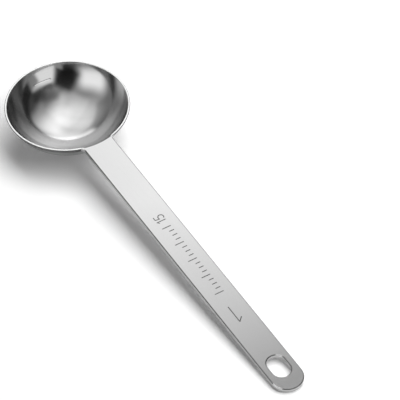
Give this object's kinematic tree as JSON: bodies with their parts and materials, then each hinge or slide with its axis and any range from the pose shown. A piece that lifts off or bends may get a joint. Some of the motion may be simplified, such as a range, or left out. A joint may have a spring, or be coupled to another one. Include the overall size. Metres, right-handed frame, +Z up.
{
  "type": "measuring spoon",
  "caption": "Long-handled measuring spoon: round drawn bowl welded to a flat strip handle with a hanging slot and engraved plain numerals.",
  "frame": {"origin": "middle of the small pressed flat under the bowl, on the table that the bowl stands on", "axes": "+X from the bowl along the handle to its tail, +Z up out of the bowl's mouth, +Y to the left of the handle as seen from above with the tail ahead"},
  "size_m": [0.185, 0.0478, 0.0162],
  "materials": {
    "bowl_steel": "satin polished inside and out, bright rounded lip",
    "handle_steel": "fine satin grain on the flats, bright rounded edges",
    "weld_steel": "ground flush above, bright small fillets outside"
  },
  "bodies": {
    "root": {"bowl": "bowl_steel", "handle": "handle_steel", "neck_weld": "weld_steel"}
  },
  "joints": []
}
